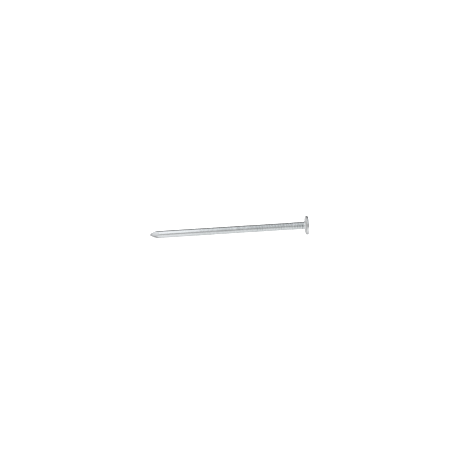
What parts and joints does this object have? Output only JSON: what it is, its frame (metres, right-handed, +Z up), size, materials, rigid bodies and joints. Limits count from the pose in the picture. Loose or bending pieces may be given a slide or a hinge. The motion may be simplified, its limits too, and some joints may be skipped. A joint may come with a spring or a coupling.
{
  "type": "nail",
  "caption": "Galvanised round-wire nail with a flat round head, gripper marks below the head and a diamond point, for fixing timber.",
  "frame": {"origin": "centre of the head's flat striking face, on the nail's axis", "axes": "+X along the nail's axis from the point to the head and out of the striking face; +Z up with the nail on its side"},
  "size_m": [0.0642, 0.0076, 0.0076],
  "materials": {
    "steel_wire": "drawn low-carbon steel wire, cold headed",
    "zinc_coating": "galvanised, satin, lightly mottled, with dull marks"
  },
  "bodies": {
    "root": {"steel_wire_body": "steel_wire", "galvanised_coating": "zinc_coating"}
  },
  "joints": []
}
